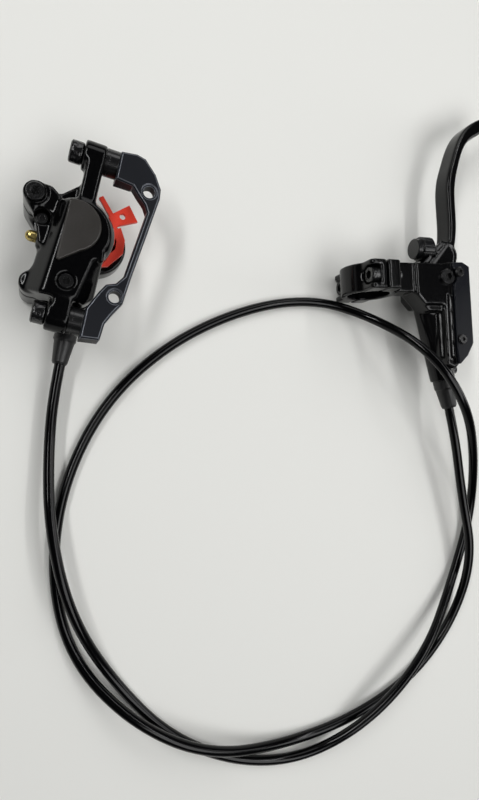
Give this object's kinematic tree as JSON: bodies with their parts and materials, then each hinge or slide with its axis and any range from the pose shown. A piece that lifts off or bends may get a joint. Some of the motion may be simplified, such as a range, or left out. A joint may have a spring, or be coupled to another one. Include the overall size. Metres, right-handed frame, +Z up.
{
  "type": "hydraulic disc brake",
  "caption": "Hydraulic disc brake for a bicycle: handlebar lever with reservoir, coiled hose, and a twin-piston caliper on its mounting adapter.",
  "frame": {"origin": "on the table, under the middle of the box that holds everything but the hose", "axes": "+Z up from the table, +X from the caliper towards the lever, +Y away from the hose loop"},
  "size_m": [0.2669, 0.3611, 0.04],
  "materials": {
    "caliper_black": "gloss black lacquer",
    "cover_satin": "satin brown-black",
    "adapter_anodised": "matt blue-black anodised",
    "black_steel": "black oxide",
    "steel": "plain bright steel",
    "brass": "turned brass",
    "seal_rubber": "moulded seal rubber",
    "boot_rubber": "matt moulded rubber",
    "hose_black": "glossy black nylon hose",
    "piston_black": "moulded phenolic",
    "lining": "pressed friction lining",
    "spacer_red": "bright red moulding",
    "lever_black": "gloss black lacquer",
    "reservoir_cover_black": "gloss black lacquer",
    "adjuster_black": "satin black moulding",
    "piston_alloy": "turned light alloy"
  },
  "bodies": {
    "brake": {"bleed_nipple": "brass", "brake_hose": "hose_black", "caliper_body_bolts": "black_steel", "caliper_cover_plate": "cover_satin", "caliper_crossover_seal": "seal_rubber", "caliper_hose_barb": "brass", "caliper_hose_boot": "boot_rubber", "caliper_hose_nut": "black_steel", "caliper_hose_olive": "brass", "caliper_inner_half": "caliper_black", "caliper_outer_half": "caliper_black", "caliper_passage_plug": "black_steel", "clamp_bolts": "black_steel", "clamp_cap": "lever_black", "concave_washers": "steel", "convex_washers": "steel", "cover_screws": "black_steel", "inner_piston_seal": "seal_rubber", "lever_bleed_screw": "black_steel", "lever_hose_barb": "brass", "lever_hose_boot": "boot_rubber", "lever_hose_nut": "black_steel", "lever_hose_olive": "brass", "lever_housing": "lever_black", "mount_adapter": "adapter_anodised", "mount_bolts": "black_steel", "outer_piston_seal": "seal_rubber", "pad_pin": "black_steel", "pad_spacer": "spacer_red", "pad_spring": "steel", "pivot_clip": "steel", "pivot_pin": "black_steel", "reservoir_cover": "reservoir_cover_black", "reservoir_diaphragm": "seal_rubber", "retaining_clip": "steel", "return_spring": "steel"},
    "lever": {"lever_blade": "lever_black", "pivot_bushes": "brass"},
    "reach_adjuster": {"reach_adjuster": "adjuster_black"},
    "master_piston": {"push_rod": "steel", "master_piston": "piston_alloy", "primary_seal": "seal_rubber", "secondary_seal": "seal_rubber"},
    "outer_piston": {"outer_piston": "piston_black", "outer_pad_plate": "steel", "outer_pad_lining": "lining"},
    "inner_piston": {"inner_piston": "piston_black", "inner_pad_plate": "steel", "inner_pad_lining": "lining"}
  },
  "joints": [
    {"name": "lever_pivot", "type": "hinge", "parent": "brake", "child": "lever", "pos_m": [0.08477, -0.01618, 0.02], "axis": [0, 0, 1], "range_deg": [0, 14], "stiffness_Nm_per_rad": 0.3, "springref_deg": -2.86},
    {"name": "master_piston_slide", "type": "slide", "parent": "brake", "child": "master_piston", "axis": [0.2588, -0.9659, 0], "range_m": [0, 0.0023], "deforming": ["return_spring"]},
    {"name": "outer_piston_slide", "type": "slide", "parent": "brake", "child": "outer_piston", "axis": [0, 0, -1], "range_m": [0, 0.00024]},
    {"name": "inner_piston_slide", "type": "slide", "parent": "brake", "child": "inner_piston", "axis": [0, 0, 1], "range_m": [0, 0.00024]},
    {"name": "reach_adjuster_turn", "type": "hinge", "parent": "lever", "child": "reach_adjuster", "pos_m": [0.08144, 0.00157, 0.0205], "axis": [0.9986, 0.0523, 0], "range_deg": [-360, 360]}
  ],
  "couplings": [
    {"joint": "master_piston_slide", "follows": "lever_pivot", "m_per_rad": 0.0091},
    {"joint": "outer_piston_slide", "follows": "lever_pivot", "m_per_rad": 0.00094},
    {"joint": "inner_piston_slide", "follows": "lever_pivot", "m_per_rad": 0.00094}
  ]
}
